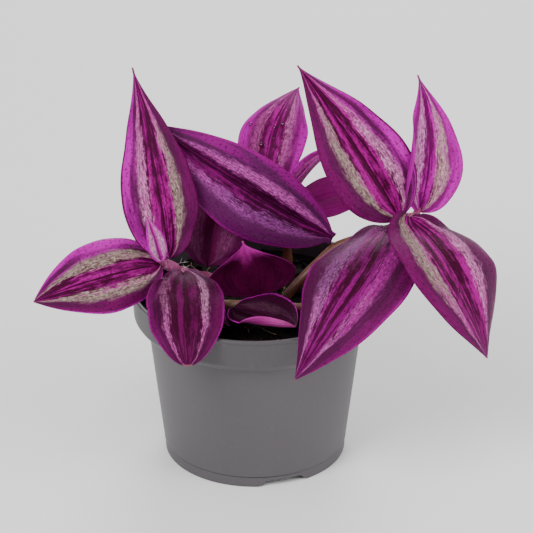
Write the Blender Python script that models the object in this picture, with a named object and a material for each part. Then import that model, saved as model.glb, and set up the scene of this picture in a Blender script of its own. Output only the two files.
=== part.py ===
"""A potted tradescantia: trailing stems with striped leaves, rooted in soil in a round nursery pot.

Run it with blender --background --python part.py, or from the text editor.
Units are metres, +Z is up and the pot stands on z = 0. The origin is under the middle of the
whole plant, so the pot's own axis stands a few millimetres to one side of it.
"""
from math import cos, radians, sin, tau

import bmesh
import bpy
from mathutils import Matrix, Vector

MM = 0.001

# The pot: a 10.5 cm tapered nursery pot with a wide collar, pressed from thin plastic
POT_AXIS = (-4.4, -3.9)       # so that the origin is under the middle of the whole plant
POT_HEIGHT = 77.0
RIM_RADIUS = 52.5
LIP_WIDTH = 1.7
COLLAR_RADIUS = 51.4
COLLAR_BOTTOM = 64.5
COLLAR_SHOULDER = 2.0         # height of the slanted step under the collar
COLLAR_STEP = 1.5             # how far that step stands in from the collar
CREASE_RADIUS = 45.5
CREASE_HEIGHT = 59.5
BASE_RADIUS = 38.9
FOOT_RADIUS = 38.6
FOOT_WIDTH = 2.0
FOOT_HEIGHT = 5.0
FOOT_TAPER = 0.6              # the foot ring's inner side leans by this much
WALL = 1.2
FLOOR_UNDERSIDE = 3.6
FLOOR_THICKNESS = 1.6
LIP_ROUNDING = 0.3
POT_SEGMENTS = 48
NOTCH_ANGLES = (-71.0, 49.0, 169.0)
NOTCH_WIDTH = 21.0
NOTCH_HEIGHT = 2.8
NOTCH_DEPTH = 9.0             # measured outwards, enough to cross the foot ring
CUTTER_OVERLAP = 2.0          # how far a cutter reaches past the face that it opens
DRAIN_HOLES = 8
DRAIN_RING_RADIUS = 27.0
DRAIN_RADIUS = 3.0

# The soil fills the pot to a little under the rim
SOIL_EDGE = 68.5
SOIL_MIDDLE = 69.5
SOIL_CLEARANCE = 0.6          # between the soil's side and the pot's inner wall
SOIL_SHOULDER = 0.8           # the soil's top edge is broken by this much
GAP = 0.3                     # left between neighbouring solids
STEM_HOLE_CLEARANCE = 0.9
ROOTED_DEPTH = 9.0

# Leaves are thin blades: two arched halves that meet in a groove at the midrib
LEAF_THICKNESS = 0.8
LEAF_STEPS_ALONG = 12
LEAF_STEPS_ACROSS = 6
BASE_WIDTH_SHARE = 0.08       # a leaf clasps its stem with this share of its width, each side
TIP_HALF_WIDTH = 0.4
CLASP_LENGTH = 0.12           # share of the length over which the base opens out from its clasp

# Colours, as linear red, green and blue
BRIGHT_LEAF = (0.30, 0.03, 0.17)
DARK_LEAF = (0.13, 0.01, 0.07)
UNDERSIDE_LEAF = (0.20, 0.003, 0.09)
STEM_PINK = (0.28, 0.05, 0.13)
STEM_BROWN = (0.16, 0.07, 0.04)
POT_GREY = (0.13, 0.12, 0.13)
SOIL_BLACK = (0.012, 0.010, 0.009)


def clear_scene():
    for obj in list(bpy.data.objects):
        bpy.data.objects.remove(obj)


def make_material(name, colour, roughness):
    material = bpy.data.materials.new(name)
    material.use_nodes = True
    shader = material.node_tree.nodes["Principled BSDF"]
    shader.inputs["Base Color"].default_value = (*colour, 1.0)
    shader.inputs["Roughness"].default_value = roughness
    shader.inputs["Metallic"].default_value = 0.0
    return material


def add_object(name, data, material, parent):
    obj = bpy.data.objects.new(name, data)
    bpy.context.scene.collection.objects.link(obj)
    obj.data.materials.append(material)
    obj.parent = parent
    return obj


def mesh_from(bm, name):
    mesh = bpy.data.meshes.new(name)
    bm.to_mesh(mesh)
    bm.free()
    mesh.shade_smooth()
    mesh.set_sharp_from_angle(angle=radians(35))
    return mesh


def turned(profile, name):
    """A solid of revolution about Z from (radius, height) points that start and end on the axis."""
    bm = bmesh.new()
    points = [bm.verts.new((radius * MM, 0, height * MM)) for radius, height in profile]
    edges = [bm.edges.new(pair) for pair in zip(points, points[1:])]
    bmesh.ops.spin(bm, geom=points + edges, cent=(0, 0, 0), axis=(0, 0, 1), angle=tau,
                   steps=POT_SEGMENTS, use_merge=True)
    bmesh.ops.remove_doubles(bm, verts=bm.verts, dist=0.00001)
    bmesh.ops.recalc_face_normals(bm, faces=bm.faces)
    return mesh_from(bm, name)


def cut_with(target, cutter_mesh, parent):
    """Takes the cutter's shape out of the target with a Boolean modifier."""
    cutter = bpy.data.objects.new(target.name + "_cutter", cutter_mesh)
    bpy.context.scene.collection.objects.link(cutter)
    cutter.parent = parent
    cutter.hide_render = True
    cutter.display_type = "WIRE"
    cut = target.modifiers.new("cut", "BOOLEAN")
    cut.operation = "DIFFERENCE"
    cut.object = cutter


def cylinder_cutter(x, y, radius, bottom, top):
    bm = bmesh.new()
    place = Matrix.Translation((x * MM, y * MM, (bottom + top) / 2 * MM))
    bmesh.ops.create_cone(bm, cap_ends=True, segments=16, radius1=radius * MM, radius2=radius * MM,
                          depth=(top - bottom) * MM, matrix=place)
    return mesh_from(bm, "round_cutter")


def notch_cutter(angle):
    """A low block with slanted ends that crosses the foot ring and opens downwards."""
    bm = bmesh.new()
    wide = NOTCH_WIDTH + 2 * CUTTER_OVERLAP
    height = NOTCH_HEIGHT + CUTTER_OVERLAP
    bmesh.ops.create_cube(bm, size=1.0)
    bmesh.ops.scale(bm, verts=bm.verts, vec=(NOTCH_DEPTH * MM, wide * MM, height * MM))
    bmesh.ops.translate(bm, verts=bm.verts, vec=(FOOT_RADIUS * MM, 0, (height / 2 - CUTTER_OVERLAP) * MM))
    for vert in bm.verts:
        if vert.co.z > 0:
            vert.co.y *= (NOTCH_WIDTH - 2 * NOTCH_HEIGHT) / wide
    bmesh.ops.rotate(bm, verts=bm.verts, cent=(0, 0, 0), matrix=Matrix.Rotation(radians(angle), 3, "Z"))
    return mesh_from(bm, "notch_cutter")


def build_pot(parent):
    inner_foot = FOOT_RADIUS - FOOT_WIDTH
    inner_step = WALL / 3
    profile = [
        (0, FLOOR_UNDERSIDE),
        (inner_foot - FOOT_TAPER, FLOOR_UNDERSIDE),
        (inner_foot, 0),
        (FOOT_RADIUS, 0),
        (FOOT_RADIUS, FOOT_HEIGHT - LIP_ROUNDING),
        (BASE_RADIUS, FOOT_HEIGHT),
        (CREASE_RADIUS, CREASE_HEIGHT),
        (COLLAR_RADIUS - COLLAR_STEP, COLLAR_BOTTOM - COLLAR_SHOULDER),
        (COLLAR_RADIUS, COLLAR_BOTTOM),
        (RIM_RADIUS - LIP_ROUNDING, POT_HEIGHT - 5 * LIP_ROUNDING),
        (RIM_RADIUS, POT_HEIGHT - 3 * LIP_ROUNDING),
        (RIM_RADIUS - LIP_ROUNDING, POT_HEIGHT),
        (RIM_RADIUS - LIP_WIDTH + LIP_ROUNDING, POT_HEIGHT),
        (RIM_RADIUS - LIP_WIDTH, POT_HEIGHT - 2 * LIP_ROUNDING),
        (COLLAR_RADIUS - WALL, COLLAR_BOTTOM + inner_step),
        (COLLAR_RADIUS - COLLAR_STEP - WALL, COLLAR_BOTTOM - COLLAR_SHOULDER + 2 * inner_step),
        (CREASE_RADIUS - WALL, CREASE_HEIGHT + inner_step),
        (BASE_RADIUS - WALL, FLOOR_UNDERSIDE + FLOOR_THICKNESS + inner_step),
        (0, FLOOR_UNDERSIDE + FLOOR_THICKNESS),
    ]
    grey = make_material("grey_plastic", POT_GREY, 0.45)
    pot = add_object("pot", turned(profile, "pot"), grey, parent)
    for angle in NOTCH_ANGLES:
        cut_with(pot, notch_cutter(angle), parent)
    bottom = FLOOR_UNDERSIDE - CUTTER_OVERLAP
    top = FLOOR_UNDERSIDE + FLOOR_THICKNESS + CUTTER_OVERLAP
    for index in range(DRAIN_HOLES):
        turn = index * tau / DRAIN_HOLES
        x, y = DRAIN_RING_RADIUS * cos(turn), DRAIN_RING_RADIUS * sin(turn)
        cut_with(pot, cylinder_cutter(x, y, DRAIN_RADIUS, bottom, top), parent)


def build_soil(parent, stems):
    """One fill of soil, a gap clear of the pot's wall, with a hole where each stem is rooted."""
    bottom = FLOOR_UNDERSIDE + FLOOR_THICKNESS + SOIL_CLEARANCE
    rim = COLLAR_RADIUS - WALL - SOIL_CLEARANCE
    profile = [
        (0, bottom),
        (BASE_RADIUS - WALL - SOIL_CLEARANCE, bottom),
        (CREASE_RADIUS - WALL - SOIL_CLEARANCE, CREASE_HEIGHT),
        (rim - COLLAR_STEP, COLLAR_BOTTOM - SOIL_CLEARANCE),
        (rim, COLLAR_BOTTOM + SOIL_SHOULDER),
        (rim, SOIL_EDGE - SOIL_SHOULDER),
        (rim - SOIL_SHOULDER, SOIL_EDGE),
        (0, SOIL_MIDDLE),
    ]
    black = make_material("peat_soil", SOIL_BLACK, 0.95)
    soil = add_object("potting_soil", turned(profile, "potting_soil"), black, parent)
    for foot, radius in stems:
        hole = cylinder_cutter(foot[0], foot[1], radius + STEM_HOLE_CLEARANCE,
                               SOIL_EDGE - ROOTED_DEPTH, SOIL_MIDDLE + CUTTER_OVERLAP)
        cut_with(soil, hole, parent)


def build_stem(name, points, radius, tip_radius, colour, parent):
    """A round tapered stem through the given points; its foot stands upright in the soil."""
    x, y, _ = points[0]
    foot = SOIL_EDGE - ROOTED_DEPTH + GAP
    rooted = [(x, y, foot), (x, y, (foot + SOIL_MIDDLE) / 2), (x, y, SOIL_MIDDLE)]
    route = rooted + points[1:]
    curve = bpy.data.curves.new(name, "CURVE")
    curve.dimensions = "3D"
    curve.bevel_depth = radius * MM
    curve.bevel_resolution = 2
    curve.resolution_u = 4
    curve.use_fill_caps = True
    spline = curve.splines.new("BEZIER")
    spline.bezier_points.add(len(route) - 1)
    for index, (knot, place) in enumerate(zip(spline.bezier_points, route)):
        knot.co = Vector(place) * MM
        knot.handle_left_type = "AUTO"
        knot.handle_right_type = "AUTO"
        share = index / (len(route) - 1)
        knot.radius = 1 + share * (tip_radius / radius - 1)
    add_object(name, curve, make_material(name, colour, 0.5), parent)
    return points[0], radius


def leaf_outline(along, width, widest, taper, shoulder):
    """Half the blade's width at a place along it, 0 at the stem to 1 at the tip.

    Up to its widest place it is half an ellipse where the shoulder is 0.5, and more pointed
    towards the stem where it is greater; from there it tapers to its tip.
    """
    if along < widest:
        return max(width / 2 * (1 - (1 - along / widest) ** 2) ** shoulder, width * BASE_WIDTH_SHARE)
    rise = taper * widest / (1 - widest)
    share = (along / widest) ** rise * (max(0.0, 1 - along) / (1 - widest)) ** taper
    return max(width / 2 * share, TIP_HALF_WIDTH)


def leaf_axes(heading, rise, roll):
    """The blade's directions towards its tip, across it and out of its upper face."""
    ahead = Vector((cos(rise) * cos(heading), cos(rise) * sin(heading), sin(rise)))
    level = Vector((sin(heading), -cos(heading), 0))
    up = level.cross(ahead)
    return ahead, level * cos(roll) - up * sin(roll), up * cos(roll) + level * sin(roll)


def build_leaf(name, base, heading, rise, reach, width, roll=0.0, arch=8.0, sway=0.0,
               widest=0.38, taper=1.1, shoulder=0.5, fold=20.0, curl=40.0, clasp=70.0,
               colour=BRIGHT_LEAF, parent=None):
    """One leaf from its base, in millimetres and degrees.

    It points along heading (counter-clockwise from +X) and rise, its tip reach away from its
    base, turned by roll about that line. arch bows it out of its upper face and sway bows it to
    its right. Each half rises from the midrib at fold and bends back by curl; at the stem the
    two halves close to clasp.
    """
    ahead, across, out = leaf_axes(radians(heading), radians(rise), radians(roll))
    bow = out * arch + across * sway
    bend = radians(curl)
    bm = bmesh.new()
    bmesh.ops.create_grid(bm, x_segments=LEAF_STEPS_ALONG, y_segments=LEAF_STEPS_ACROSS, size=0.5)
    for vert in bm.verts:
        along = vert.co.x + 0.5
        side = -2 * vert.co.y
        midrib = Vector(base) + ahead * (reach * along) + bow * (4 * along * (1 - along))
        tangent = (ahead * reach + bow * (4 - 8 * along)).normalized()
        upward = (out - tangent * out.dot(tangent)).normalized()
        right = tangent.cross(upward)
        closing = max(0.0, 1 - along / CLASP_LENGTH) ** 2
        slope = radians(fold + (clasp - fold) * closing)
        half = leaf_outline(along, width, widest, taper, shoulder)
        sweep = bend * abs(side)
        outwards = half * (sin(slope) - sin(slope - sweep)) / bend
        lift = half * (cos(slope - sweep) - cos(slope)) / bend
        sign = 1 if side > 0 else -1
        vert.co = (midrib + right * (sign * outwards) + upward * lift) * MM
    leaf = add_object(name, mesh_from(bm, name), make_material(name, colour, 0.4), parent)
    shell = leaf.modifiers.new("thickness", "SOLIDIFY")
    shell.thickness = LEAF_THICKNESS * MM
    shell.offset = 0.0


def build_stems(parent):
    """The shoots that carry the leaves, and two old stems that were cut back near the front."""
    return [
        build_stem("left_stem", [(-12, 14, 69), (-21, 9, 75.5), (-30, 1, 82), (-36, -7, 89.5)],
                   2.4, 1.8, STEM_PINK, parent),
        build_stem("right_stem", [(13, 0, 69), (34, 7, 90), (55, 1, 101.5), (64, -2, 108)],
                   2.6, 1.8, STEM_BROWN, parent),
        build_stem("back_stem", [(14, 35, 69), (13, 34, 86), (8, 34, 99)], 2.2, 1.8, STEM_BROWN, parent),
        build_stem("front_old_stem", [(-18, -8, 69), (-11, -12, 73.5), (-3, -14, 74)], 2.2, 1.9,
                   STEM_BROWN, parent),
        build_stem("short_old_stem", [(20, -11, 69), (15, -17, 75)], 2.2, 1.9, STEM_PINK, parent),
    ]


def build_left_shoot(parent):
    build_leaf("tall_left_leaf", (-36, -7, 93), heading=113, rise=61, reach=81, width=34,
               arch=7, sway=-1.3, widest=0.31, taper=1.5, parent=parent)
    build_leaf("left_leaf", (-40, -10, 91), heading=205, rise=-5, reach=57, width=32,
               roll=-52, arch=4, sway=1.3, widest=0.42, taper=0.95, parent=parent)
    build_leaf("left_front_leaf", (-30, -9, 86), heading=273, rise=-17, reach=54, width=33,
               arch=9, widest=0.52, taper=0.55, colour=DARK_LEAF, parent=parent)
    build_leaf("left_young_leaf", (-39, -14, 95), heading=199, rise=74, reach=22, width=9,
               roll=-80, arch=1, fold=25, parent=parent)
    build_leaf("inner_left_leaf", (-20, 13, 79), heading=70, rise=48, reach=40, width=36,
               arch=5, widest=0.5, colour=DARK_LEAF, parent=parent)


def build_right_shoot(parent):
    build_leaf("long_middle_leaf", (33, 10, 94), heading=165, rise=29, reach=90, width=40,
               roll=-78, arch=6, widest=0.44, shoulder=0.8, fold=42, clasp=50, colour=DARK_LEAF,
               parent=parent)
    build_leaf("upper_right_leaf", (60, -3, 110), heading=146, rise=48, reach=76, width=37,
               roll=-40, widest=0.31, taper=1.3, fold=28, parent=parent)
    build_leaf("back_right_leaf", (69, 3, 110), heading=91, rise=60, reach=57, width=29,
               roll=10, sway=3, widest=0.29, taper=1.4, fold=30, parent=parent)
    build_leaf("lower_right_leaf", (56, -4, 104), heading=236, rise=-29, reach=81, width=48,
               arch=13, sway=-9, widest=0.41, taper=1.05, colour=DARK_LEAF, parent=parent)
    build_leaf("right_leaf", (64, -8, 111), heading=306, rise=-38, reach=68, width=49,
               roll=-10, arch=14, sway=6, widest=0.41, taper=1.0, parent=parent)


def build_back_shoot(parent):
    build_leaf("back_leaf", (4, 35, 104), heading=69, rise=36, reach=52, width=31,
               sway=-1, taper=1.2, parent=parent)
    build_leaf("furled_back_leaf", (14, 29, 98), heading=28, rise=43, reach=36, width=14,
               arch=4, fold=75, parent=parent)
    build_leaf("back_side_leaf", (16, 34, 95), heading=8, rise=12, reach=44, width=22,
               roll=-80, arch=3, parent=parent)


def build_rim_leaves(parent):
    build_leaf("inner_middle_leaf", (1, -12, 77), heading=223, rise=74, reach=30, width=38,
               roll=47, arch=2, widest=0.32, taper=2.0, clasp=30, colour=UNDERSIDE_LEAF, parent=parent)
    build_leaf("rim_leaf", (-9, -21, 75.5), heading=327, rise=2, reach=31, width=32,
               arch=-1, widest=0.45, taper=0.7, fold=14, curl=-6, clasp=40, colour=DARK_LEAF,
               parent=parent)
    build_leaf("small_rim_leaf", (-28, -7, 80), heading=303, rise=-10, reach=32, width=12,
               arch=2, parent=parent)


def main():
    clear_scene()
    plant = bpy.data.objects.new("pot_axis", None)
    bpy.context.scene.collection.objects.link(plant)
    plant.location = (POT_AXIS[0] * MM, POT_AXIS[1] * MM, 0)
    build_pot(plant)
    stems = build_stems(plant)
    build_soil(plant, stems)
    build_left_shoot(plant)
    build_right_shoot(plant)
    build_back_shoot(plant)
    build_rim_leaves(plant)


main()
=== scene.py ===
from math import atan2, cos, exp, pi, radians, sin, sqrt, tau
from random import Random

import bmesh
import bpy
from mathutils import Matrix, Vector, noise


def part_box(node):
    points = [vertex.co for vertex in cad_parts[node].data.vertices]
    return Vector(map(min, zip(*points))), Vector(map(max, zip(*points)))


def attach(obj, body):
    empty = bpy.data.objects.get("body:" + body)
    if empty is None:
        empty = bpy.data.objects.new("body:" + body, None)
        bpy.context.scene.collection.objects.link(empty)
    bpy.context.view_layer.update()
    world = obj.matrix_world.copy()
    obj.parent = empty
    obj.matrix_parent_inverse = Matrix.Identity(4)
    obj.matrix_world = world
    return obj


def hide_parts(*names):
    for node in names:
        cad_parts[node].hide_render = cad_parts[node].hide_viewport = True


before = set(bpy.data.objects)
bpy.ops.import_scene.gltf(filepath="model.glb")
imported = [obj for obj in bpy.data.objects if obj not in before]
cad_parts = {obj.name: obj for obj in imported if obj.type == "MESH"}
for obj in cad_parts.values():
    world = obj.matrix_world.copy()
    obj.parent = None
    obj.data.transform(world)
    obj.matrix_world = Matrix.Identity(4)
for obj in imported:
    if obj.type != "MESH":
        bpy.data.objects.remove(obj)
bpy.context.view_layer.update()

# ---------------------------------------------------------------------------------------------
# Pot: one moulding of thin grey satin plastic, with a wide collar under a rounded lip, a foot
# ring with three drainage notches and a raised floor with holes. It is turned as one skin.
# ---------------------------------------------------------------------------------------------
MM = 0.001
pot_low, pot_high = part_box("pot")
POT_X = (pot_low.x + pot_high.x) / 2
POT_Y = (pot_low.y + pot_high.y) / 2
RIM_RADIUS = (pot_high.x - pot_low.x) / 2 / MM
POT_HEIGHT = pot_high.z / MM
WALL = 1.2
LIP_HEIGHT, LIP_WIDTH, LIP_OVERHANG = 1.8, 1.8, 1.1
COLLAR_RADIUS = RIM_RADIUS - LIP_OVERHANG
COLLAR_BOTTOM, COLLAR_STEP = 64.5, 1.5
CREASE_RADIUS, CREASE_HEIGHT = 45.5, 59.5
BASE_RADIUS = 38.9
FOOT_RADIUS, FOOT_WIDTH, FOOT_HEIGHT = 38.6, 2.0, 5.0
FLOOR_UNDERSIDE, FLOOR_THICKNESS = 3.6, 1.6
FLOOR_TOP = FLOOR_UNDERSIDE + FLOOR_THICKNESS
CORNER_BEND = 0.5
POT_STEPS = 180
NOTCH_ANGLES = (-71.0, 49.0, 169.0)
NOTCH_WIDTH, NOTCH_HEIGHT = 21.0, 2.8
DRAIN_HOLES, DRAIN_RING_RADIUS, DRAIN_RADIUS = 8, 27.0, 3.0
FLOOR_RINGS, FLOOR_RING_GAP = 6, 0.8
WALL_GREY_DARK, WALL_GREY_LIGHT = (0.060, 0.053, 0.060), (0.074, 0.066, 0.075)
# The first grey on the next line is painted shade on the collar, darker than the wall where the leaves
# hang over it. The second is the plastic's real scuff grey.
COLLAR_PAINTED_SHADE, SCUFF_GREY = (0.046, 0.040, 0.046), (0.15, 0.14, 0.15)


class Wire:
    """One output of a shader node; maths on wires adds the nodes for it."""

    def __init__(self, socket):
        self.socket = socket

    def node(self, kind, settings, inputs, output=0):
        """Adds a node of any kind: its settings first, then the values or wires of its inputs."""
        tree = self.socket.id_data
        made = tree.nodes.new(kind)
        for name, value in settings.items():
            setattr(made, name, value)
        for key, value in inputs.items():
            if isinstance(value, Wire):
                tree.links.new(value.socket, made.inputs[key])
            else:
                made.inputs[key].default_value = value
        return Wire(made.outputs[output])

    def maths(self, operation, *values):
        return self.node("ShaderNodeMath", {"operation": operation}, dict(enumerate(values)))

    def __add__(self, other):
        return self.maths("ADD", self, other)

    def __radd__(self, other):
        return self.maths("ADD", other, self)

    def __sub__(self, other):
        return self.maths("SUBTRACT", self, other)

    def __rsub__(self, other):
        return self.maths("SUBTRACT", other, self)

    def __mul__(self, other):
        return self.maths("MULTIPLY", self, other)

    def __rmul__(self, other):
        return self.maths("MULTIPLY", other, self)

    def __truediv__(self, other):
        return self.maths("DIVIDE", self, other)

    def __abs__(self):
        return self.maths("ABSOLUTE", self)

    def step(self, start, end):
        """0 below start, 1 above end, with a soft passage between them."""
        return self.node("ShaderNodeMapRange", {"interpolation_type": "SMOOTHSTEP"},
                         {"Value": self, "From Min": start, "From Max": end})

    def mix(self, colour_a, colour_b):
        """Colour A where this wire is 0, colour B where it is 1."""
        inputs = {0: self}
        for key, colour in ((6, colour_a), (7, colour_b)):
            inputs[key] = colour if isinstance(colour, Wire) else (*colour, 1.0)
        return self.node("ShaderNodeMix", {"data_type": "RGBA", "clamp_factor": True}, inputs, 2)

    def noise(self, scale, detail=2.0, rough=0.5, stretch=(1, 1, 1)):
        """Even noise on these coordinates; stretch gives each direction its own fineness."""
        spread = self.node("ShaderNodeMapping", {}, {"Vector": self, "Scale": stretch})
        return self.node("ShaderNodeTexNoise", {},
                         {"Vector": spread, "Scale": scale, "Detail": detail, "Roughness": rough})

    def brighter(self, times):
        """This colour with its light multiplied."""
        return self.node("ShaderNodeVectorMath", {"operation": "SCALE"}, {0: self, "Scale": times})

    def bump(self, strength, distance):
        """A surface normal tilted by this wire taken as height."""
        return self.node("ShaderNodeBump", {},
                         {"Height": self, "Strength": strength, "Distance": distance})


def new_material(name, coordinate="Object"):
    """An empty Principled material and the wire of its coordinates."""
    material = bpy.data.materials.new(name)
    material.use_nodes = True
    source = material.node_tree.nodes.new("ShaderNodeTexCoord")
    shader = material.node_tree.nodes["Principled BSDF"]
    return material, shader, Wire(source.outputs[coordinate])


def feed(shader, **inputs):
    """Links wires to the shader's sockets and sets its constants; a name's _ stands for a space."""
    for name, value in inputs.items():
        socket = shader.inputs[name.replace("_", " ")]
        if isinstance(value, Wire):
            shader.id_data.links.new(value.socket, socket)
        else:
            socket.default_value = value


def new_piece(name, bm, material, slot, *nodes):
    """A finished mesh as a piece of the plant, and the nodes that it stands for; slot is not used."""
    mesh = bpy.data.meshes.new(name)
    bm.to_mesh(mesh)
    bm.free()
    mesh.shade_smooth()
    mesh.set_sharp_from_angle(angle=radians(50))
    mesh.materials.append(material)
    piece = bpy.data.objects.new(name, mesh)
    bpy.context.scene.collection.objects.link(piece)
    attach(piece, "root")
    if nodes:
        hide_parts(*nodes)
    return piece


def rounded(corners, bend):
    """A profile with each inner corner replaced by a short curve that starts bend away from it."""
    path = [corners[0]]
    for before, corner, after in zip(corners, corners[1:], corners[2:]):
        here = Vector(corner)
        back, ahead = Vector(before) - here, Vector(after) - here
        cut = min(bend, back.length * 0.45, ahead.length * 0.45)
        start, end = here + back.normalized() * cut, here + ahead.normalized() * cut
        for share in (0, 0.25, 0.5, 0.75, 1):
            path.append(start * (1 - share) ** 2 + here * (2 * share * (1 - share)) + end * share ** 2)
    path.append(corners[-1])
    return path


def turned(profile, steps):
    """A closed bmesh turned about Z from (radius, height) points that start and end on that axis."""
    bm = bmesh.new()
    points = [bm.verts.new((radius * MM, 0, height * MM)) for radius, height in profile]
    edges = [bm.edges.new(pair) for pair in zip(points, points[1:])]
    bmesh.ops.spin(bm, geom=points + edges, cent=(0, 0, 0), axis=(0, 0, 1), angle=tau,
                   steps=steps, use_merge=True)
    bmesh.ops.remove_doubles(bm, verts=bm.verts, dist=0.00001)
    bmesh.ops.recalc_face_normals(bm, faces=bm.faces)
    return bm


inner_foot = FOOT_RADIUS - FOOT_WIDTH
pot_corners = [
    (0, FLOOR_UNDERSIDE), (inner_foot - 0.6, FLOOR_UNDERSIDE), (inner_foot, 0), (FOOT_RADIUS, 0),
    (FOOT_RADIUS, FOOT_HEIGHT - 0.5), (FOOT_RADIUS - 0.5, FOOT_HEIGHT - 0.2),
    (BASE_RADIUS + 0.2, FOOT_HEIGHT + 0.1), (BASE_RADIUS + 0.2, FOOT_HEIGHT + 0.6),
    (CREASE_RADIUS, CREASE_HEIGHT), (CREASE_RADIUS + 0.6, CREASE_HEIGHT + 0.6),
    (COLLAR_RADIUS - COLLAR_STEP, COLLAR_BOTTOM - 2.2), (COLLAR_RADIUS, COLLAR_BOTTOM),
    (RIM_RADIUS - 0.5, POT_HEIGHT - LIP_HEIGHT), (RIM_RADIUS, POT_HEIGHT - LIP_HEIGHT + 0.5),
    (RIM_RADIUS, POT_HEIGHT - 0.2), (RIM_RADIUS - 0.3, POT_HEIGHT),
    (RIM_RADIUS - LIP_WIDTH + 0.3, POT_HEIGHT), (RIM_RADIUS - LIP_WIDTH, POT_HEIGHT - 0.6),
    (COLLAR_RADIUS - WALL, COLLAR_BOTTOM + 0.4), (COLLAR_RADIUS - COLLAR_STEP - WALL, COLLAR_BOTTOM - 1.2),
    (CREASE_RADIUS - WALL, CREASE_HEIGHT + 0.4), (BASE_RADIUS - WALL, FLOOR_TOP), (0, FLOOR_TOP),
]
outline = rounded(pot_corners, CORNER_BEND)
floor_rings = [DRAIN_RING_RADIUS + step * FLOOR_RING_GAP for step in range(-FLOOR_RINGS, FLOOR_RINGS + 1)]
outline[1:1] = [(radius, FLOOR_UNDERSIDE) for radius in floor_rings]
outline[-1:-1] = [(radius, FLOOR_TOP) for radius in reversed(floor_rings)]
pot_mesh = turned(outline, POT_STEPS)
for index in range(DRAIN_HOLES):
    turn = index * tau / DRAIN_HOLES
    centre = Vector((cos(turn), sin(turn))) * DRAIN_RING_RADIUS * MM
    inside = [face for face in pot_mesh.faces
              if (face.calc_center_median().xy - centre).length < DRAIN_RADIUS * MM]
    bmesh.ops.delete(pot_mesh, geom=inside, context="FACES")
    edge_loops = [edge for edge in pot_mesh.edges if edge.is_boundary]
    for vert in {vert for edge in edge_loops for vert in edge.verts}:
        vert.co.xy = centre + (vert.co.xy - centre).normalized() * DRAIN_RADIUS * MM
    bmesh.ops.bridge_loops(pot_mesh, edges=edge_loops)
bmesh.ops.recalc_face_normals(pot_mesh, faces=pot_mesh.faces)
for vert in pot_mesh.verts:
    angle = atan2(vert.co.y, vert.co.x)
    reach = vert.co.xy.length / MM
    if vert.co.z < 1.2 * MM and reach > inner_foot - 0.5:
        turns = [abs((angle - radians(notch) + pi) % tau - pi) for notch in NOTCH_ANGLES]
        lift = min(max(NOTCH_WIDTH / 2 - min(turns) * FOOT_RADIUS, 0), NOTCH_HEIGHT)
        vert.co.z = max(vert.co.z, lift * MM + vert.co.z * 0.3)
bmesh.ops.translate(pot_mesh, verts=pot_mesh.verts, vec=(POT_X, POT_Y, 0))

plastic, shader, place = new_material("grey_plastic")
centred = place.node("ShaderNodeMapping", {}, {"Vector": place, "Location": (-POT_X, -POT_Y, 0)})
haze = centred.noise(14, 3, 0.6, (1, 1, 0.35))
grain = centred.noise(900, 3, 0.7)
specks = centred.noise(420, 1, 0.5).step(0.70, 0.76)
height = place.node("ShaderNodeSeparateXYZ", {}, {"Vector": place}, 2)
# Painted shade: everything from the collar's foot upwards, lip included, is darkened to the collar's
# shaded grey in place of the shade of the leaves over it. The scuffs and specks mixed in after it are the
# plastic's real wear.
collar_shade_mask = height.step((COLLAR_BOTTOM - 2.5) * MM, (COLLAR_BOTTOM + 1.0) * MM)
tone = collar_shade_mask.mix(haze.mix(WALL_GREY_DARK, WALL_GREY_LIGHT), COLLAR_PAINTED_SHADE)
scuffs_and_collar_shade = (grain * 0.18 + specks * 0.10).mix(tone, SCUFF_GREY)
feed(shader, Base_Color=scuffs_and_collar_shade, Roughness=0.42 + haze * 0.14, Specular_IOR_Level=0.45,
     Normal=(grain * 0.6 + specks).bump(0.10, 0.0002))
new_piece("nursery_pot", pot_mesh, plastic, "grey_plastic", "pot")

# ---------------------------------------------------------------------------------------------
# Potting soil: dark, damp peat, filled to a little under the rim. Its top is uneven, with loose
# crumbs half sunk in it and a few pale fibres lying on it.
# ---------------------------------------------------------------------------------------------
SOIL_EDGE, SOIL_MIDDLE = 68.5, 69.5
SOIL_GAP = 0.3
SOIL_RADIUS = COLLAR_RADIUS - WALL - SOIL_GAP
SOIL_FOOT = FLOOR_TOP + 2 * SOIL_GAP
SOIL_RINGS, SOIL_STEPS = 60, 150
CRUMBS, LARGE_CRUMB_EVERY = 900, 9
SMALL_CRUMB, LARGE_CRUMB = (0.35, 1.1), (1.1, 1.9)
FIBRES, FIBRE_SPREAD, FIBRE_RADIUS = 26, 38, 0.13
PEAT_DARK, PEAT_BROWN, PEAT_DRY = (0.0010, 0.0006, 0.0006), (0.0085, 0.0050, 0.0040), (0.012, 0.007, 0.005)
FIBRE_BROWN, FIBRE_PALE = (0.10, 0.055, 0.03), (0.30, 0.20, 0.13)

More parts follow.
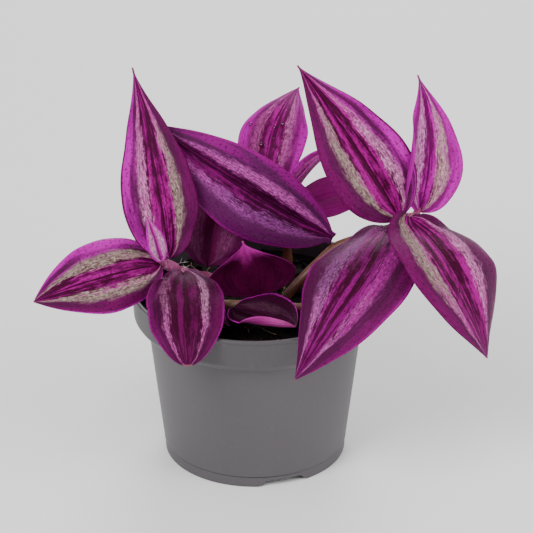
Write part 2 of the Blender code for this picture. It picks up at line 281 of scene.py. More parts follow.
soil_corners = [
    (0, SOIL_FOOT), (BASE_RADIUS - WALL - 0.6, SOIL_FOOT + 0.1),
    (CREASE_RADIUS - WALL - 0.5, CREASE_HEIGHT),
    (COLLAR_RADIUS - COLLAR_STEP - WALL - 0.3, COLLAR_BOTTOM - 0.5),
    (SOIL_RADIUS - 0.2, COLLAR_BOTTOM + 1.0), (SOIL_RADIUS - 0.2, SOIL_EDGE - 0.8),
]
top_radius = SOIL_RADIUS - 1.0
soil_top = [(radius, SOIL_EDGE + (SOIL_MIDDLE - SOIL_EDGE) * (1 - radius / SOIL_RADIUS))
            for radius in [top_radius - step * top_radius / SOIL_RINGS for step in range(SOIL_RINGS + 1)]]
soil_mesh = turned(soil_corners + soil_top, SOIL_STEPS)
for vert in soil_mesh.verts:
    if vert.co.z > (SOIL_EDGE - 0.5) * MM:
        coarse = noise.noise(vert.co * 120) * 0.9 + noise.noise(vert.co * 330) * 0.7
        fine = noise.noise(vert.co * 800) * 0.5
        inwards = (SOIL_RADIUS * MM - vert.co.xy.length) / (3 * MM)
        vert.co.z += (coarse + fine - 0.3) * MM * min(1, inwards)
bmesh.ops.translate(soil_mesh, verts=soil_mesh.verts, vec=(POT_X, POT_Y, 0))

draw = Random(11)
for crumb in range(CRUMBS):
    angle, away = draw.uniform(0, tau), sqrt(draw.random()) * (SOIL_RADIUS - 2.5)
    size = draw.uniform(*(SMALL_CRUMB if crumb % LARGE_CRUMB_EVERY else LARGE_CRUMB))
    spot = Vector((POT_X + away * cos(angle) * MM, POT_Y + away * sin(angle) * MM,
                   (SOIL_EDGE + 0.9 * (1 - away / SOIL_RADIUS) + size * 0.1) * MM))
    turn = Matrix.Rotation(draw.uniform(0, tau), 4, "Z") @ Matrix.Rotation(draw.uniform(0, tau), 4, "X")
    squash = Matrix.Diagonal((draw.uniform(0.7, 1.3), draw.uniform(0.6, 1.1), draw.uniform(0.5, 0.9), 1))
    lump = bmesh.ops.create_icosphere(soil_mesh, subdivisions=1, radius=size * MM,
                                      matrix=Matrix.Translation(spot) @ turn @ squash)
    for vert in lump["verts"]:
        vert.co += noise.noise_vector(vert.co * 900) * size * 0.35 * MM

peat, shader, place = new_material("peat")
lumps = place.noise(260, 4, 0.7)
damp = place.noise(60, 2, 0.5)
feed(shader, Base_Color=damp.step(0.55, 0.75).mix(lumps.mix(PEAT_DARK, PEAT_BROWN), PEAT_DRY),
     Roughness=0.95 - damp * 0.25, Specular_IOR_Level=0.08, Normal=lumps.bump(0.6, 0.0006))
new_piece("peat_fill", soil_mesh, peat, "peat_soil", "potting_soil")


def smooth_route(points, steps):
    """Points spaced along a smooth curve that passes through the given ones."""
    route = [Vector(point) for point in points]
    padded = [route[0] * 2 - route[1]] + route + [route[-1] * 2 - route[-2]]
    path = []
    for index in range(len(route) - 1):
        a, b, c, d = padded[index:index + 4]
        for step in range(steps):
            t = step / steps
            path.append(0.5 * (2 * b + (c - a) * t + (2 * a - 5 * b + 4 * c - d) * t * t
                               + (3 * b - 3 * c + d - a) * t ** 3))
    path.append(route[-1])
    return path


def sweep(bm, path, radii, sides=16):
    """Extrudes a ring along a path, one radius for each point, and closes both ends."""
    ring = bmesh.ops.create_circle(bm, cap_ends=True, segments=sides, radius=1.0)["verts"]
    unit = [Vector((cos(tau * index / sides), sin(tau * index / sides), 0)) for index in range(sides)]
    edges = [edge for edge in bm.edges if edge.verts[0] in ring and edge.verts[1] in ring]
    side = (path[1] - path[0]).orthogonal().normalized()
    for index, (point, radius) in enumerate(zip(path, radii)):
        if index:
            made = bmesh.ops.extrude_edge_only(bm, edges=edges)["geom"]
            follow = {}
            for edge in edges:
                for old in edge.verts:
                    for link in old.link_edges:
                        new = link.other_vert(old)
                        if new in made:
                            follow[old] = new
            ring = [follow[old] for old in ring]
            edges = [item for item in made if isinstance(item, bmesh.types.BMEdge)
                     and item.verts[0] in ring and item.verts[1] in ring]
        after, before = path[min(index + 1, len(path) - 1)], path[max(index - 1, 0)]
        ahead = (after - before).normalized()
        side = (side - ahead * side.dot(ahead)).normalized()
        other = ahead.cross(side)
        for vert, around in zip(ring, unit):
            vert.co = (point + (side * around.x + other * around.y) * radius) * MM
    bmesh.ops.contextual_create(bm, geom=edges)


def in_pot(points):
    """Places given from the pot's axis, in millimetres, as places in the frame."""
    return [Vector((x + POT_X / MM, y + POT_Y / MM, z)) for x, y, z in points]


fibres = bmesh.new()
for strand in range(FIBRES):
    angle, away = draw.uniform(0, tau), sqrt(draw.random()) * FIBRE_SPREAD
    start = Vector((away * cos(angle), away * sin(angle), SOIL_MIDDLE + draw.uniform(-0.2, 0.8)))
    heading = draw.uniform(0, tau)
    route = [start]
    for piece in range(3):
        heading += draw.uniform(-0.7, 0.7)
        onwards = Vector((cos(heading), sin(heading), draw.uniform(-0.12, 0.16)))
        route.append(route[-1] + onwards * draw.uniform(1.5, 3))
    path = smooth_route(in_pot(route), 4)
    sweep(fibres, path, [FIBRE_RADIUS] * len(path), 5)
bmesh.ops.recalc_face_normals(fibres, faces=fibres.faces)
fibre, shader, place = new_material("peat_fibre")
feed(shader, Base_Color=place.noise(300).mix(FIBRE_BROWN, FIBRE_PALE), Roughness=0.8)
new_piece("peat_fibres", fibres, fibre, "peat_soil")

# ---------------------------------------------------------------------------------------------
# Stems: round, fleshy shoots about 4 to 5 mm thick, swollen at each joint, pink where they are
# young and brown where they are old. Each is swept along its own route out of the soil.
# ---------------------------------------------------------------------------------------------
STEM_FOOT = SOIL_EDGE - 8.5
SWELLING, SWELL_LENGTH = 0.28, 2.6
STEM_SIDES = 20
LEFT_ROUTE = [(-12, 14, 69), (-21, 9, 75.5), (-30, 1, 82), (-36, -7, 89.5)]
RIGHT_ROUTE = [(13, 0, 69), (34, 7, 90), (55, 1, 101.5), (64, -2, 108)]
BACK_ROUTE = [(14, 35, 69), (13, 34, 86), (8, 34, 99)]
FRONT_OLD_ROUTE = [(-18, -8, 69), (-11, -12, 73.5), (-3, -14, 74)]
SHORT_OLD_ROUTE = [(20, -11, 69), (15, -17, 75)]


def grow_stem(name, node, points, radius, tip_radius, joints, material, slot):
    """A tapered stem through the points; joints are shares of its length where it swells."""
    x, y = points[0][:2]
    route = [(x, y, STEM_FOOT), (x, y, SOIL_EDGE - 4), (x, y, SOIL_MIDDLE + 1)] + points[1:]
    path = smooth_route(in_pot(route), 12)
    last = len(path) - 1
    radii = []
    for index in range(last + 1):
        share = index / last
        swell = sum(SWELLING * exp(-((share - joint) * last / SWELL_LENGTH) ** 2) for joint in joints)
        rounding = min(1, sqrt(max(0.15, (last - index) / 2.5)))
        radii.append((radius + (tip_radius - radius) * share) * (0.92 + swell) * rounding)
    bm = bmesh.new()
    sweep(bm, path, radii, STEM_SIDES)
    bmesh.ops.recalc_face_normals(bm, faces=bm.faces)
    return new_piece(name, bm, material, slot, node)


def stem_material(name, young, old, streak):
    """Stem skin: blotched from young to old, with fine streaks, faintly glossy."""
    material, skin, spot = new_material(name)
    blotch = spot.noise(150, 3, 0.6)
    lines = spot.noise(900, 2, 0.6, (1, 1, 0.25))
    feed(skin, Base_Color=(lines.step(0.52, 0.70) * 0.6).mix(blotch.mix(young, old), streak),
         Roughness=0.36 + blotch * 0.25,
         Subsurface_Weight=0.08, Subsurface_Radius=(0.004, 0.001, 0.002),
         Normal=(lines * 0.5 + blotch).bump(0.25, 0.0003))
    return material


pink_skin = stem_material("pink_stem_skin", (0.34, 0.045, 0.15), (0.16, 0.02, 0.07), (0.45, 0.14, 0.24))
brown_skin = stem_material("brown_stem_skin", (0.15, 0.038, 0.022), (0.07, 0.022, 0.014),
                           (0.22, 0.085, 0.05))
old_skin = stem_material("old_stem_skin", (0.30, 0.16, 0.10), (0.14, 0.07, 0.045), (0.42, 0.28, 0.20))

grow_stem("left_shoot_stem", "left_stem", LEFT_ROUTE, 2.4, 1.9, (0.6, 0.8, 0.98), pink_skin, "pink_stem")
grow_stem("right_shoot_stem", "right_stem", RIGHT_ROUTE, 2.6, 1.9, (0.6, 0.8, 0.98), brown_skin,
          "brown_stem")
grow_stem("back_shoot_stem", "back_stem", BACK_ROUTE, 2.2, 1.8, (0.5, 0.98), brown_skin, "brown_stem")
grow_stem("front_old_stub", "front_old_stem", FRONT_OLD_ROUTE, 2.2, 2.0, (0.5, 0.95), old_skin,
          "brown_stem")
grow_stem("short_old_stub", "short_old_stem", SHORT_OLD_ROUTE, 2.2, 2.0, (0.7,), old_skin, "pink_stem")

# ---------------------------------------------------------------------------------------------
# Leaves: thin, fleshy pointed blades, each of two arched halves that meet in a groove at the
# midrib and clasp the stem. Silver bands run lengthwise on magenta, and the underside is plain.
# ---------------------------------------------------------------------------------------------
LEAF_THICKNESS, MARGIN_THICKNESS_SHARE = 0.7, 0.25
STEPS_ALONG, STEPS_ACROSS = 64, 28
TUCK_START = 0.5
BASE_WIDTH_SHARE = 0.08
TIP_HALF_WIDTH = 0.4
CLASP_LENGTH = 0.12
OUTLINE_WAVER = 0.04
SHEEN = (1.0, 0.20, 0.80, 1.0)
DRY_TIP = (0.22, 0.09, 0.11)


def leaf_outline(along, width, widest, taper, shoulder):
    """Half the blade's width at a share of its length: a rounded base, then a taper to the tip."""
    if along < widest:
        return max(width / 2 * (1 - (1 - along / widest) ** 2) ** shoulder, width * BASE_WIDTH_SHARE)
    rise = taper * widest / (1 - widest)
    share = (along / widest) ** rise * (max(0.0, 1 - along) / (1 - widest)) ** taper
    return max(width / 2 * share, TIP_HALF_WIDTH)


def leaf_axes(heading, rise, roll):
    """The blade's directions towards its tip, across it and out of its upper face."""
    ahead = Vector((cos(rise) * cos(heading), cos(rise) * sin(heading), sin(rise)))
    level = Vector((sin(heading), -cos(heading), 0))
    up = level.cross(ahead)
    return ahead, level * cos(roll) - up * sin(roll), up * cos(roll) + level * sin(roll)


def cross_section(half, slope, bend, tuck, steps):
    """Places (outwards, up) from the midrib to the margin of one half of the blade.

    It leaves the midrib at slope and bends back by bend; tuck rolls its outer part up and over.
    """
    places, outwards, lift = [(0.0, 0.0)], 0.0, 0.0
    for step in range(steps):
        share = (step + 0.5) / steps
        rolled = max(0.0, (share - TUCK_START) / (1 - TUCK_START))
        angle = slope - bend * share + tuck * rolled
        outwards += half / steps * cos(angle)
        lift += half / steps * sin(angle)
        places.append((outwards, lift))
    return places


# The midrib of each leaf, for the necks that later join the leaves to their shoots.
spines = {}


def grow_leaf(node, base, heading, rise, reach, width, upper, under, slot="bright_leaf",
              roll=0.0, arch=8.0, sway=0.0, widest=0.38, taper=1.1, shoulder=0.5,
              fold=20.0, curl=40.0, clasp=70.0, ruffle=0.8,
              tuck_left=(0, 0, 1), tuck_right=(0, 0, 1), seed=0):
    """One leaf from its base, in millimetres and degrees from the pot's axis.

    It points along heading and rise, its tip reach away from its base, turned by roll about that
    line. arch bows it out of its upper face and sway bows it to its right. widest, taper and
    shoulder shape its outline. Each half rises from the midrib at fold, or at clasp next to the
    stem, and bends back by curl, and ruffle is the height of its margin's waves. A tuck is the
    angle by which that margin rolls up, and the stretch of the length where it does.
    """
    ahead, across, out = leaf_axes(radians(heading), radians(rise), radians(roll))
    bow = out * arch + across * sway
    start = in_pot([base])[0]
    half_steps = STEPS_ACROSS // 2

    def spine(along):
        """The midrib's place, its direction and the direction out of the upper face."""
        tangent = (ahead * reach + bow * (4 - 8 * along)).normalized()
        upward = (out - tangent * out.dot(tangent)).normalized()
        return start + ahead * (reach * along) + bow * (4 * along * (1 - along)), tangent, upward

    spines[node] = spine
    bm = bmesh.new()
    bmesh.ops.create_grid(bm, x_segments=STEPS_ALONG, y_segments=STEPS_ACROSS, size=0.5)
    blade = bm.loops.layers.uv.new("blade")
    grain = bm.loops.layers.uv.new("grain")
    thin = bm.verts.layers.deform.new()
    for vert in bm.verts:
        along = vert.co.x + 0.5
        vert.co.x = 0.5 * along + 0.5 * along * along * (3 - 2 * along) - 0.5
    for face in bm.faces:
        for loop in face.loops:
            x, y, _ = loop.vert.co
            loop[blade].uv = (0.5 - y, x + 0.5)
            loop[grain].uv = (seed * 61 - y * width, seed * 97 + x * reach)
    for vert in bm.verts:
        along = vert.co.x + 0.5
        side = -2 * vert.co.y
        sign = 1 if side > 0 else -1
        midrib, tangent, upward = spine(along)
        right = tangent.cross(upward)
        closing = max(0.0, 1 - along / CLASP_LENGTH) ** 2
        slope = radians(fold + (clasp - fold) * closing)
        wavy = 1 + OUTLINE_WAVER * noise.noise(Vector((along * 6, sign * 4 + seed, seed * 1.3)))
        half = leaf_outline(along, width, widest, taper, shoulder) * wavy
        angle, first, last = tuck_right if side > 0 else tuck_left
        window = max(0.0, 1 - ((2 * along - first - last) / (last - first)) ** 2) if angle else 0.0
        row = cross_section(half, slope, radians(curl), radians(angle) * window, half_steps)
        outwards, lift = row[round(abs(side) * half_steps)]
        wave = noise.noise(Vector((along * 5 + seed, side * 1.5, seed * 3.7)))
        lift += ruffle * wave * abs(side) ** 2 * min(1, half / 6)
        vert.co = (midrib + right * (sign * outwards) + upward * lift) * MM
        vert[thin][0] = max(MARGIN_THICKNESS_SHARE, 1 - (1 - MARGIN_THICKNESS_SHARE) * abs(side) ** 5)
    piece = new_piece(node + "_blade", bm, upper, slot, node)
    piece.vertex_groups.new(name="flesh")
    piece.data.materials.append(under)
    shell = piece.modifiers.new("thickness", "SOLIDIFY")
    shell.thickness = LEAF_THICKNESS * MM
    shell.offset = 0.0
    shell.vertex_group = "flesh"
    shell.material_offset = 1
    return piece


def leaf_material(name, deep, glow, dusk, silver, margin, tip, edge, centre=(0.47, 0.47), spread=1.0):
    """A leaf's upper side: a streaked heart, a feathered silver band on each half, bright margins.

    deep and glow are the heart's dark and bright streaks, and dusk lies outside the silver bands.
    silver and margin hold a colour for the left half and one for the right, tip is what the silver
    turns to near the tip, and edge is the thin line round the blade. The bands' middles lie at
    centre, as shares of the left and the right half's width, and spread makes them broader.
    """
    material, skin, flat = new_material(name)
    blade = flat.node("ShaderNodeUVMap", {"uv_map": "blade"}, {})
    grain = flat.node("ShaderNodeUVMap", {"uv_map": "grain"}, {})
    across = blade.node("ShaderNodeSeparateXYZ", {}, {"Vector": blade}, 0)
    along = blade.node("ShaderNodeSeparateXYZ", {}, {"Vector": blade}, 1)
    side = across * 2 - 1
    right_half = side.step(-0.05, 0.05)
    wander = grain.noise(1, 2, 0.5, (0.12, 0.05, 1)) - 0.5
    fibre = grain.noise(1, 3, 0.7, (2.2, 0.14, 1))
    streak = grain.noise(1, 2, 0.55, (0.42, 0.022, 1))
    broad = grain.noise(1, 2, 0.5, (0.30, 0.045, 1))
    blotch = grain.noise(1, 3, 0.65, (0.55, 0.16, 1))
    cells = grain.noise(1, 2, 0.7, (1.5, 0.5, 1))
    pits = grain.noise(1, 1, 0.5, (1.1, 0.8, 1))
    middle = centre[0] + (centre[1] - centre[0]) * right_half
    aside = abs(side) + wander * 0.20
    ragged = aside + (blotch - 0.5) * 0.26 + (fibre - 0.5) * 0.30 + (cells - 0.5) * 0.10
    # The heart is darkened along the midrib: painted shade in the midrib's groove.
    midrib = 1 - abs(side).step(0.0, 0.045)
    heart = (streak * 2.2 + blotch * 1.2 + fibre * 0.5 - midrib * 0.5).step(1.72, 2.24)
    colour = heart.mix(deep, glow)
    rim = (broad * 1.6 + streak * 0.8 + abs(side) * 1.6).step(2.1, 2.8)
    outer = rim.mix(dusk, right_half.mix(*margin))
    colour = (ragged - middle).step(-0.01, 0.13).mix(colour, outer)
    swell = 0.115 * spread * (1 - along.step(0.55, 1.0) * 0.75) * along.step(-0.05, 0.22) + 0.012
    band = 1 - (abs(ragged - middle) / swell).step(0.50, 1.30)
    shine = (along + (broad - 0.5) * 0.8).step(0.45, 0.85).mix(right_half.mix(*silver), tip)
    broken = 0.24 + (fibre * 0.7 + cells * 0.6).step(0.50, 0.78) * 0.76
    colour = (band * broken).mix(colour, shine)
    # Painted glints: bright flecks in the silver bands, lighter than the silver itself, stand in for
    # sparkles of light on the leaf.
    colour = (band * cells.step(0.54, 0.68) * 0.6).mix(colour, shine.brighter(1.7))
    colour = abs(side).step(0.93, 0.97).mix(colour, edge)
    colour = (pits.step(0.56, 0.66) * 0.55).mix(colour, deep)
    colour = (fibre.step(0.60, 0.72) * (1 - band) * 0.22).mix(colour, tip)
    colour = along.step(0.985, 0.997).mix(colour, DRY_TIP)
    feed(skin, Base_Color=colour, Roughness=0.30 + cells * 0.20 + band * 0.08,
         Specular_IOR_Level=0.20, Specular_Tint=SHEEN,
         Normal=(fibre * 0.7 + streak * 0.8 + cells * 0.5 - pits * 0.4).bump(0.55, 0.0007))
    return material


def underside_material(name, deep, light, tip=None):
    """A leaf's underside: plain magenta with faint lengthwise veins, and a tip of its own colour; on the
    near-black underside that tip is a painted highlight.
    """
    material, skin, flat = new_material(name)
    blade = flat.node("ShaderNodeUVMap", {"uv_map": "blade"}, {})
    grain = flat.node("ShaderNodeUVMap", {"uv_map": "grain"}, {})
    along = blade.node("ShaderNodeSeparateXYZ", {}, {"Vector": blade}, 1)
    streak = grain.noise(1, 3, 0.6, (1.2, 0.05, 1))
    cloud = grain.noise(1, 2, 0.5, (0.12, 0.08, 1))
    freckle = grain.noise(1, 2, 0.6, (1.3, 0.9, 1))
    colour = (streak * 0.9 + cloud * 0.9 - 0.4).mix(deep, light)
    colour = (along + cloud * 0.5).step(0.78, 1.18).mix(colour, tip or light)
    colour = (freckle.step(0.54, 0.68) * 0.5).mix(colour, deep)
    feed(skin, Base_Color=colour, Roughness=0.36 + cloud * 0.15,
         Specular_IOR_Level=0.15, Specular_Tint=SHEEN, Normal=(streak + freckle * 0.3).bump(0.5, 0.0006))
    return material


plain_under = underside_material("plain_underside", (0.11, 0.0008, 0.055), (0.30, 0.003, 0.19))
pale_under = underside_material("pale_underside", (0.20, 0.005, 0.12), (0.40, 0.05, 0.25))
# The next underside is painted near black as shade under the arching leaf, and its bright pink tip is a
# painted highlight of light shining through the leaf's peak.
shaded_underside_lit_tip = underside_material("underside_painted_shade_lit_tip", (0.010, 0.0003, 0.004), (0.085, 0.0004, 0.038),
                                (0.52, 0.020, 0.34))
rosy_under = underside_material("rosy_underside", (0.22, 0.001, 0.15), (0.42, 0.004, 0.32))
PLUM, DUSK, GLOW = (0.034, 0.0004, 0.012), (0.062, 0.005, 0.040), (0.29, 0.0008, 0.18)
MAGENTA, DEEP_MAGENTA = (0.42, 0.0010, 0.33), (0.12, 0.0012, 0.070)
PALE_GREEN, PALE_PINK, ROSE = (0.27, 0.215, 0.17), (0.50, 0.17, 0.36), (0.44, 0.07, 0.30)
THIN_EDGE = (0.23, 0.001, 0.16)
left_silver = leaf_material(
    "stripes_silver_on_left", PLUM, GLOW, DUSK, silver=(PALE_GREEN, PALE_PINK),
    margin=(DEEP_MAGENTA, MAGENTA), tip=ROSE, edge=DEEP_MAGENTA)
right_silver = leaf_material(
    "stripes_silver_on_right", PLUM, GLOW, DUSK, silver=(PALE_PINK, PALE_GREEN),
    margin=(MAGENTA, DEEP_MAGENTA), tip=ROSE, edge=DEEP_MAGENTA, centre=(0.43, 0.45), spread=1.15)
front_silver = leaf_material(
    "stripes_silver_in_front", PLUM, GLOW, DUSK, silver=(PALE_PINK, PALE_GREEN),
    margin=(DEEP_MAGENTA, DEEP_MAGENTA), tip=ROSE, edge=DEEP_MAGENTA, centre=(0.42, 0.58))
both_silver = leaf_material(
    "stripes_silver_on_both", PLUM, GLOW, DUSK, silver=(PALE_GREEN, PALE_GREEN),
    margin=(DEEP_MAGENTA, MAGENTA), tip=PALE_GREEN, edge=MAGENTA, spread=1.3)
rosy = leaf_material(
    "stripes_rosy", deep=(0.07, 0.0006, 0.035), glow=(0.30, 0.001, 0.20), dusk=(0.11, 0.004, 0.07),
    silver=((0.26, 0.05, 0.17), (0.34, 0.09, 0.24)), margin=(MAGENTA, MAGENTA), tip=ROSE, edge=MAGENTA,
    spread=1.1)
young = leaf_material(
    "stripes_young", deep=(0.20, 0.001, 0.13), glow=(0.42, 0.005, 0.30), dusk=(0.34, 0.06, 0.25),
    silver=((0.52, 0.28, 0.42), (0.52, 0.28, 0.42)), margin=(MAGENTA, MAGENTA), tip=PALE_PINK,
    edge=MAGENTA, centre=(0.50, 0.50), spread=2.4)
rosy_silver = leaf_material(
    "stripes_rosy_silver", deep=(0.10, 0.0006, 0.06), glow=(0.42, 0.001, 0.31), dusk=(0.17, 0.004, 0.12),
    silver=((0.52, 0.20, 0.40), (0.42, 0.26, 0.26)), margin=((0.40, 0.002, 0.30), (0.46, 0.003, 0.36)),
    tip=PALE_PINK, edge=MAGENTA, centre=(0.42, 0.42), spread=1.6)
dark = leaf_material(
    "stripes_on_plum", deep=(0.026, 0.0004, 0.009), glow=(0.105, 0.0004, 0.060),
    dusk=(0.032, 0.001, 0.018), silver=((0.36, 0.15, 0.27), (0.19, 0.06, 0.13)),
    margin=((0.08, 0.0006, 0.045), (0.11, 0.0006, 0.07)), tip=(0.34, 0.07, 0.24), edge=THIN_EDGE,
    centre=(0.52, 0.55), spread=0.9)
dusky = leaf_material(
    "stripes_dusky", deep=(0.055, 0.0006, 0.024), glow=(0.12, 0.001, 0.060), dusk=(0.062, 0.001, 0.034),
    silver=((0.14, 0.03, 0.095), (0.14, 0.03, 0.095)), margin=((0.07, 0.0006, 0.04), (0.07, 0.0006, 0.04)),
    tip=(0.18, 0.04, 0.13), edge=DEEP_MAGENTA, spread=1.8)
plain_plum = leaf_material(
    "plain_plum", deep=(0.012, 0.002, 0.006), glow=(0.045, 0.003, 0.024), dusk=(0.022, 0.003, 0.013),
    silver=((0.06, 0.02, 0.04), (0.06, 0.02, 0.04)), margin=((0.03, 0.001, 0.015), (0.03, 0.001, 0.015)),
    tip=(0.06, 0.01, 0.04), edge=MAGENTA, spread=1.4)
violet = leaf_material(
    "stripes_on_violet", deep=(0.026, 0.0008, 0.014), glow=(0.16, 0.0008, 0.105),
    dusk=(0.075, 0.010, 0.062), silver=((0.19, 0.040, 0.18), (0.52, 0.09, 0.40)),
    margin=((0.080, 0.002, 0.062), (0.22, 0.002, 0.16)), tip=(0.40, 0.07, 0.32), edge=THIN_EDGE,
    centre=(0.43, 0.43), spread=1.3)
dusky_violet = leaf_material(
    "stripes_on_dusky_violet", deep=PLUM, glow=(0.20, 0.0008, 0.135), dusk=(0.055, 0.005, 0.036),
    silver=((0.30, 0.015, 0.21), (0.17, 0.055, 0.16)),
    margin=((0.12, 0.002, 0.075), (0.065, 0.003, 0.042)), tip=(0.40, 0.10, 0.31), edge=THIN_EDGE,
    centre=(0.42, 0.50), spread=1.2)

grow_leaf("tall_left_leaf", (-36, -7, 93), 113, 61, 81, 34, right_silver, plain_under, arch=7, sway=-1.3,
          widest=0.31, taper=1.5, seed=1)
grow_leaf("left_leaf", (-40, -10, 91), 205, -5, 57, 32, both_silver, plain_under, roll=-52, arch=4,
          sway=1.3, widest=0.42, taper=0.95, seed=2)
grow_leaf("left_front_leaf", (-30, -9, 86), 273, -17, 54, 33, dark, plain_under, "dark_leaf",
          arch=9, widest=0.52, taper=0.55, seed=3)
grow_leaf("left_young_leaf", (-39, -14, 95), 199, 74, 22, 9, young, plain_under, roll=-80, arch=1,
          fold=25, seed=4)
grow_leaf("inner_left_leaf", (-20, 13, 79), 70, 48, 40, 36, dusky, plain_under, "dark_leaf", arch=5,
          widest=0.5, seed=5)
grow_leaf("inner_middle_leaf", (1, -12, 77), 223, 74, 30, 38, dark, shaded_underside_lit_tip, "leaf_underside", roll=47,
          arch=2, widest=0.32, taper=2.0, clasp=30, seed=6)
grow_leaf("long_middle_leaf", (33, 10, 94), 165, 29, 90, 40, violet, plain_under, "dark_leaf", roll=-78,
          arch=6, widest=0.44, shoulder=0.8, fold=42, clasp=50, seed=7)
grow_leaf("upper_right_leaf", (60, -3, 110), 146, 48, 76, 37, left_silver, plain_under, roll=-40,
          widest=0.31, taper=1.3, fold=28, seed=8)
grow_leaf("back_right_leaf", (69, 3, 110), 91, 60, 57, 29, rosy_silver, rosy_under, roll=10, sway=3,
          widest=0.29, taper=1.4, fold=30, tuck_left=(150, -0.1, 0.75), seed=9)
grow_leaf("lower_right_leaf", (56, -4, 104), 236, -29, 81, 48, dusky_violet, plain_under, "dark_leaf",
          arch=13, sway=-9, widest=0.41, taper=1.05, seed=10)
grow_leaf("right_leaf", (64, -8, 111), 306, -38, 68, 49, front_silver, plain_under, roll=-10, arch=14,
          sway=6, widest=0.41, taper=1.0, seed=11)
grow_leaf("back_leaf", (4, 35, 104), 69, 36, 52, 31, rosy, plain_under, sway=-1, taper=1.2, seed=12)
grow_leaf("furled_back_leaf", (14, 29, 98), 28, 43, 36, 14, rosy, plain_under, arch=4, fold=75, seed=13)
grow_leaf("back_side_leaf", (16, 34, 95), 8, 12, 44, 22, rosy, plain_under, roll=-80, arch=3, seed=14)
grow_leaf("rim_leaf", (-9, -21, 75.5), 327, 2, 31, 32, plain_plum, pale_under, "dark_leaf", arch=-1,
          widest=0.45, taper=0.7, fold=14, curl=-6, clasp=40, tuck_right=(140, 0.40, 1.8), seed=15)
grow_leaf("small_rim_leaf", (-28, -7, 80), 303, -10, 32, 12, rosy, plain_under, arch=2, seed=16)

# ---------------------------------------------------------------------------------------------
# Leaf joints: each shoot ends in a swollen, pale joint. A fleshy neck runs from it into the
# underside of every leaf's midrib and thins out, and the left joint carries fine white hairs.
# ---------------------------------------------------------------------------------------------
JOINT_SWELL = 0.18
NECK_PLACES = ((0.02, 0.9), (0.10, 0.7), (0.22, 0.45))
NECK_SHARE, NECK_TIP, NECK_TAPER = 0.85, 0.35, 0.7
JOINT_SIDES, NECK_SIDES = 18, 12
HAIRS, HAIR_RADII = 24, [0.09, 0.08, 0.07, 0.05, 0.03]
DOWN_PINK, DOWN_WHITE = (0.55, 0.42, 0.48), (0.80, 0.72, 0.75)


def grow_joint(name, stem_end, node_place, leaves, thick, material, slot):
    """One joint at the end of a stem and a neck into each of the leaves that spring from it.

    A neck passes through NECK_PLACES: shares of the leaf's length, and depths under its midrib.
    """
    low, high = in_pot([stem_end, node_place])
    bm = bmesh.new()
    path = smooth_route([low, low.lerp(high, 0.5), high], 6)
    last = len(path) - 1
    radii = [thick * (1 + JOINT_SWELL * sin(pi * index / last)) for index in range(last + 1)]
    sweep(bm, path, radii, JOINT_SIDES)
    for leaf in leaves:
        places = [high]
        for along, sunk in NECK_PLACES:
            midrib, _, upward = spines[leaf](along)
            places.append(midrib - upward * sunk)
        path = smooth_route(places, 6)
        last = len(path) - 1
        root = thick * NECK_SHARE
        radii = [root - (root - NECK_TIP) * (index / last) ** NECK_TAPER for index in range(last + 1)]
        sweep(bm, path, radii, NECK_SIDES)
    bmesh.ops.recalc_face_normals(bm, faces=bm.faces)
    return new_piece(name, bm, material, slot)


joint_skin = stem_material("pale_joint_skin", (0.42, 0.10, 0.24), (0.26, 0.02, 0.14), (0.60, 0.30, 0.42))
grow_joint("left_joint", (-33.5, -3.5, 86.5), (-38, -9, 91),
           ("tall_left_leaf", "left_leaf", "left_young_leaf"), 2.0, joint_skin, "pink_stem")
grow_joint("left_lower_joint", (-28, 2, 80.5), (-31, -3, 83.5), ("left_front_leaf",),
           2.2, joint_skin, "pink_stem")
grow_joint("right_joint", (61.5, -1.5, 106), (66.5, -2.5, 109.5),
           ("upper_right_leaf", "back_right_leaf", "lower_right_leaf", "right_leaf"),
           2.4, pink_skin, "brown_stem")
grow_joint("back_joint", (9, 34, 96), (8, 34, 99.5), ("back_leaf", "furled_back_leaf", "back_side_leaf"),
           1.8, pink_skin, "brown_stem")

hairs = bmesh.new()
left_joint = in_pot([(-33, -3, 87)])[0]
for hair in range(HAIRS):
    turn, climb = draw.uniform(-0.6, 2.4), draw.uniform(-0.1, 1.1)
    away = Vector((cos(turn) * cos(climb), sin(turn) * cos(climb) - 0.35, sin(climb)))
    foot = left_joint + Vector((draw.uniform(-1.5, 4), draw.uniform(-2, 2), draw.uniform(-4, 1)))
    length = draw.uniform(2.0, 3.6)
    bent = foot + away * length + Vector((0, 0, draw.uniform(-0.6, 0.3)))
    sweep(hairs, smooth_route([foot, foot + away * length * 0.5, bent], 2), HAIR_RADII, 4)
bmesh.ops.recalc_face_normals(hairs, faces=hairs.faces)
down, shader, place = new_material("white_down")
feed(shader, Base_Color=place.noise(500).mix(DOWN_PINK, DOWN_WHITE), Roughness=0.6)
new_piece("joint_hairs", hairs, down, "pink_stem")

# ---------------------------------------------------------------------------------------------
# Water drops: clear, faintly pink beads 1 to 3 mm wide, left on two leaves after watering. Each
# is a flattened sphere, half sunk in the leaf's face, at a share of its length and half width.
# ---------------------------------------------------------------------------------------------
DROPS = (
    ("back_leaf", 0.33, -0.20, 1.45), ("back_leaf", 0.32, 0.20, 1.0), ("back_leaf", 0.40, 0.10, 0.6),
    ("back_leaf", 0.44, 0.43, 0.6), ("back_leaf", 0.485, -0.68, 0.9), ("back_leaf", 0.50, 0.02, 1.05),
    ("back_leaf", 0.51, 0.24, 0.9), ("back_leaf", 0.565, -0.64, 0.5), ("back_leaf", 0.67, 0.14, 0.85),
    ("right_leaf", 0.60, 0.22, 0.9),
)
DROP_LIFT, DROP_FLATNESS = 0.35, 0.65
WATER_TINT = (0.90, 0.50, 0.78, 1.0)

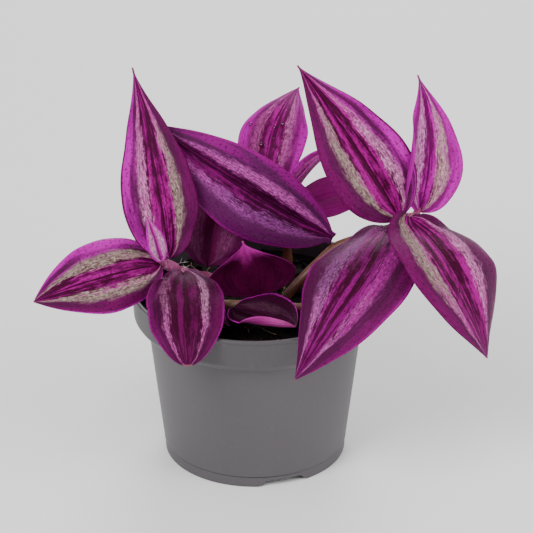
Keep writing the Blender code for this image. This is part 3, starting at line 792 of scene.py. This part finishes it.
beads = bmesh.new()
for leaf, along, side, size in DROPS:
    blade = bpy.data.objects[leaf + "_blade"].data
    spots = blade.uv_layers["blade"].data
    wanted = Vector(((1 + side) / 2, along))
    face = min(blade.polygons, key=lambda face: (spots[face.loop_start].uv - wanted).length)
    lean = face.normal.to_track_quat("Z", "Y").to_matrix().to_4x4()
    rest = Matrix.Translation(face.center + face.normal * (DROP_LIFT * MM))
    bmesh.ops.create_uvsphere(beads, u_segments=20, v_segments=12, radius=size * MM,
                              matrix=rest @ lean @ Matrix.Diagonal((1, 1, DROP_FLATNESS, 1)))
water, shader, place = new_material("water")
feed(shader, Base_Color=WATER_TINT, Roughness=0.02 + place.noise(900) * 0.03, IOR=1.33,
     Transmission_Weight=1.0)
new_piece("water_drops", beads, water, "bright_leaf")

# ---------------------------------------------------------------------------------------------
# Studio: a wide floor of pale paper, a large soft light at the front left, a fill from the right,
# a third light behind and a white surround. The camera looks down on the plant at 27 degrees.
# ---------------------------------------------------------------------------------------------
FLOOR_HALF_SIZE = 4.0
PAPER_SHADE, PAPER_WHITE = (0.86, 0.86, 0.86), (0.88, 0.88, 0.88)
SURROUND_WHITE, SURROUND_STRENGTH = (1, 1, 1, 1), 0.6
LIGHT_SIZE = 0.7
VIEW_ELEVATION, VIEW_DISTANCE = radians(27), 1.5
AIM_ASIDE, AIM_HEIGHT = 0.0049, 0.0852
LENS, SENSOR_WIDTH = 240, 36

bm = bmesh.new()
bmesh.ops.create_grid(bm, x_segments=1, y_segments=1, size=FLOOR_HALF_SIZE)
floor_mesh = bpy.data.meshes.new("studio_floor")
bm.to_mesh(floor_mesh)
bm.free()
floor = bpy.data.objects.new("studio_floor", floor_mesh)
bpy.context.scene.collection.objects.link(floor)
paper, shader, place = new_material("studio_paper")
feed(shader, Base_Color=place.noise(3).mix(PAPER_SHADE, PAPER_WHITE), Roughness=0.9)
floor_mesh.materials.append(paper)

world = bpy.data.worlds.new("studio_surround")
bpy.context.scene.world = world
world.use_nodes = True
surround = world.node_tree.nodes["Background"]
surround.inputs["Color"].default_value = SURROUND_WHITE
surround.inputs["Strength"].default_value = SURROUND_STRENGTH


def soft_light(name, place, aim, power):
    """A round soft lamp at a place, turned towards what it is aimed at."""
    lamp = bpy.data.lights.new(name, "AREA")
    lamp.shape = "DISK"
    lamp.size = LIGHT_SIZE
    lamp.energy = power
    holder = bpy.data.objects.new(name, lamp)
    bpy.context.scene.collection.objects.link(holder)
    holder.location = place
    holder.rotation_euler = (Vector(aim) - Vector(place)).to_track_quat("-Z", "Y").to_euler()


soft_light("key_softbox", (-0.55, -0.75, 0.95), (0, 0, 0.08), 15)
soft_light("fill_softbox", (0.8, -0.4, 0.5), (0, 0, 0.08), 6)
soft_light("back_softbox", (0.1, 0.9, 0.8), (0, 0, 0.1), 8)

aim = Vector((POT_X + AIM_ASIDE, POT_Y, AIM_HEIGHT))
camera = bpy.data.cameras.new("camera")
camera.lens, camera.sensor_width = LENS, SENSOR_WIDTH
viewer = bpy.data.objects.new("camera", camera)
bpy.context.scene.collection.objects.link(viewer)
viewer.location = aim + Vector((0, -cos(VIEW_ELEVATION), sin(VIEW_ELEVATION))) * VIEW_DISTANCE
viewer.rotation_euler = (aim - viewer.location).to_track_quat("-Z", "Y").to_euler()
bpy.context.scene.camera = viewer
